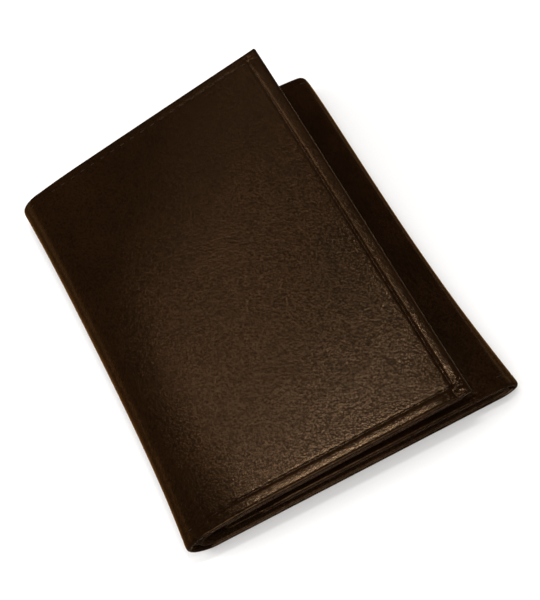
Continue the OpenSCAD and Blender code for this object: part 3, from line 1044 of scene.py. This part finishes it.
# directions round the window, close together at the notch in its near edge
around = np.radians(np.concatenate([np.arange(-180, 180, 2), np.arange(-110, -70, 0.5)]))
around = np.unique(np.concatenate([around, anglesOf(plainOpening)]))
distance = distanceAround(plainOpening)(around)
thumb = -openHigh / 2 * np.sin(around)
reach = windowFrame["thumbRadius"] ** 2 - (openHigh / 2) ** 2 + thumb ** 2
notched = np.maximum(distance, thumb + np.sqrt(np.maximum(reach, 0)))
distance = np.where((reach > 0) & (thumb > 0), notched, distance)
windowOpening = loopFrom(distance, around)
piece = framePiece(
    "window_frame", windowCentre, windowOutline, windowOpening, high.z, windowFrame, smoothCalf,
)
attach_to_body(piece, "back")
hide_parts("id_window_frame")
for sewn in sewFrame(
    "thread_window", windowCentre, windowOutline, windowOpening, high.z, windowFrame,
):
    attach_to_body(sewn, "back")
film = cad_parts["id_window_film"]
film.data.materials.clear()
film.data.materials.append(clearFilm)

# The badge frame on the leaf's inside, cut out in the shape of a shield
low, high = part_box("badge_frame")
badgeFrame = {
    "thickness": high.z - low.z,
    "corner": 1.5 * mm,
    "sideMargin": 8 * mm,
    "height": 66 * mm,
    "shoulder": 7 * mm,  # radius of the opening's upper corners
    "straightShare": 0.55,  # how much of its height has straight sides
    "seam": 2.2 * mm,
    "groove": 0.25 * mm,
    "grooveWidth": 0.35 * mm,
    "threadLift": 0.02 * mm,
    "facing": -1,
}
badgeCentre = middleOf(low, high)
badgeOutline = roundedLoop(high.x - low.x, high.y - low.y, badgeFrame["corner"])
halfWide = (high.x - low.x) / 2 - badgeFrame["sideMargin"]
waist = badgeFrame["height"] * (0.5 - badgeFrame["straightShare"])
deep = badgeFrame["height"] * (1 - badgeFrame["straightShare"])
shoulders = roundedLoop(2 * halfWide, badgeFrame["height"], badgeFrame["shoulder"])
shoulders = shoulders[shoulders[:, 1] > waist]
turn = np.radians(np.linspace(180, 360, 61))
point = np.stack([halfWide * np.cos(turn), waist + deep * np.sin(turn)], -1)
badgeOpening = np.concatenate([shoulders, point])
piece = framePiece(
    "badge_frame_leather", badgeCentre, badgeOutline, badgeOpening, low.z, badgeFrame, smoothCalf,
)
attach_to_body(piece, "leaf")
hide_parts("badge_frame")
for sewn in sewFrame(
    "thread_badge", badgeCentre, badgeOutline, badgeOpening, low.z, badgeFrame,
):
    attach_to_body(sewn, "leaf")
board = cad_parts["leaf_stiffener"]
board.data.materials.clear()
board.data.materials.append(pressedBoard)
print("window and badge frame made")

# Three stepped card pockets on the flap's inside
pocket = {
    "thickness": 0.25 * mm,
    "hem": 0.12 * mm,
    "corner": 1.2 * mm,
    "sideSeam": 1.9 * mm,
    "mouthSeam": 1.6 * mm,
    "band": 0.06 * mm,
    "crest": (0.5, 0.5),
    "groove": 0.12 * mm,
    "grooveWidth": 0.35 * mm,
    "facing": -1,
    "nearSetIn": 0.35 * mm,
    "freeSetIn": 1.6 * mm,
    "foldSetIn": 1.1 * mm,
    "aboveLeaf": 0.5 * mm,
    "stackStep": 0.33 * mm,
    "firstMouth": 66 * mm,
    "mouthStep": 10 * mm,
    "hiddenSeam": 2 * mm,  # a side seam starts this far under the pocket in front
}
pocketNames = ["card_pocket_low", "card_pocket_middle", "card_pocket_high"]
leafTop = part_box("leaf_outer_leather")[1].z
for index, node in enumerate(pocketNames):
    fold = innerShell["flap"]
    pocketTop = leafTop + pocket["aboveLeaf"] + index * pocket["stackStep"] + pocket["thickness"]
    pocketShell = {"flap": {**fold, "top": pocketTop, "bottom": pocketTop - 2 * fold["radius"]}}
    edges = (
        flapToS(pocketShell, wallet["flapEdgeX"] - pocket["freeSetIn"]),
        flapToS(pocketShell, fold["x"] + pocket["foldSetIn"]),
    )
    mouth = nearY + pocket["firstMouth"] + index * pocket["mouthStep"]
    rows = (nearY + pocket["nearSetIn"], mouth)
    sHoles = holesBetween(*edges, pocket["sideSeam"])
    yHoles = holesBetween(*rows, pocket["sideSeam"], pocket["mouthSeam"])
    seams = {side: pocket["sideSeam"] for side in ("sLow", "sHigh", "yLow")}
    seams["yHigh"] = pocket["mouthSeam"]
    piece = plyPiece(
        node + "_leather", pocketShell, edges, rows, seams, pocket, smoothCalf, sHoles, yHoles,
    )
    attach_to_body(piece, "flap")
    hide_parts(node)
    shown = yHoles > mouth - pocket["mouthStep"] - pocket["hiddenSeam"]
    sideHoles = yHoles[shown] if index else yHoles
    seamRows = [(sHoles, yHoles[-1:], 1), (sHoles[:1], sideHoles, 1), (sHoles[-1:], sideHoles, 1)]
    if index == 0:
        seamRows.append((sHoles, yHoles[:1], 1))
    sewn = sewRows("thread_" + node, pocketShell, edges, seamRows, pocket)
    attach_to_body(sewn, "flap")
print("card pockets made")

# Stage: a plain pale floor and soft light
floorHalf = 3.0
floorCorners = [(x * floorHalf, y * floorHalf, 0) for x, y in ((-1, -1), (1, -1), (1, 1), (-1, 1))]
floor = bpy.data.meshes.new("floor")
floor.from_pydata(floorCorners, [], [(0, 1, 2, 3)])
floorPiece = addObject("floor", floor)
# Painted board: the eye sees an even, pale and matt ground.
paleFloor, floorTree, floorShader = newMaterial("paleMattFloor")
setInputs(floorTree, floorShader, {
    "Base Color": toLinear("#f6f6f6"), "Roughness": 0.9, "Specular IOR Level": 0.2,
})
floor.materials.append(paleFloor)

skyStrength = 1.0  # even light from all round, which gloss doesn't pick up
lights = {
    # narrow lamps overhead, for the highlight on the flap and its trail to the far end
    "sheen": {
        "placeMm": (12, 8, 300), "sizeMm": (84, 12), "turn": -10, "watts": 0.17,
        "colour": "#fffaf5",
    },
    "trail": {
        "placeMm": (-52, 110, 300), "sizeMm": (120, 12), "turn": -40, "watts": 0.038,
        "colour": "#ffedde",
    },
    "frontFill": {
        "placeMm": (-60, -480, 150), "sizeMm": (300, 120), "watts": 0.5, "colour": "#fff1e0",
    },
    # low lamps on both sides, for the warm rims of the folds
    "leftRim": {
        "placeMm": (-460, 270, 75), "sizeMm": (400, 140), "watts": 0.055, "colour": "#ffcf8f",
        "unseenBy": "visible_diffuse",
    },
    "rightRim": {
        "placeMm": (470, 150, 75), "sizeMm": (300, 100), "watts": 0.045, "colour": "#ffe3c0",
        "unseenBy": "visible_diffuse",
    },
    "leftFill": {
        "placeMm": (-520, 120, 330), "sizeMm": (300, 300), "watts": 1.7, "colour": "#ffffff",
        "unseenBy": "visible_glossy",
    },
}
for name, light in lights.items():
    data = bpy.data.lights.new(name + "Light", "AREA")
    data.shape = "RECTANGLE"
    data.size, data.size_y = (v * mm for v in light["sizeMm"])
    data.energy = light["watts"]
    data.color = toLinear(light["colour"])[:3]
    lamp = addObject(name + "Light", data)
    lamp.location = [v * mm for v in light["placeMm"]]
    if "turn" in light:  # it shines straight down
        lamp.rotation_euler.z = math.radians(light["turn"])
    else:
        lamp.rotation_euler = lamp.location.to_track_quat("Z", "Y").to_euler()
    if "unseenBy" in light:
        setattr(lamp, light["unseenBy"], False)
floorPiece.visible_glossy = False
world = bpy.data.worlds.new("softRoom")
bpy.context.scene.world = world
world.use_nodes = True
room = world.node_tree.nodes["Background"]
room.inputs["Color"].default_value = (1, 1, 1, 1)
room.inputs["Strength"].default_value = skyStrength
world.cycles_visibility.glossy = False

camera = {
    "placeMm": (-36.84, -164.41, 284.19),
    "turnDegrees": (29.731, 7.364, -26.206),
    "lens": 77.63,
    "sensor": 36,
}
cameraData = bpy.data.cameras.new("camera")
cameraData.lens = camera["lens"]
cameraData.sensor_width = camera["sensor"]
cameraPiece = addObject("camera", cameraData)
cameraPiece.location = [v * mm for v in camera["placeMm"]]
cameraPiece.rotation_euler = [math.radians(v) for v in camera["turnDegrees"]]
bpy.context.scene.camera = cameraPiece
bpy.context.scene.view_settings.view_transform = "Standard"
print("stage set")
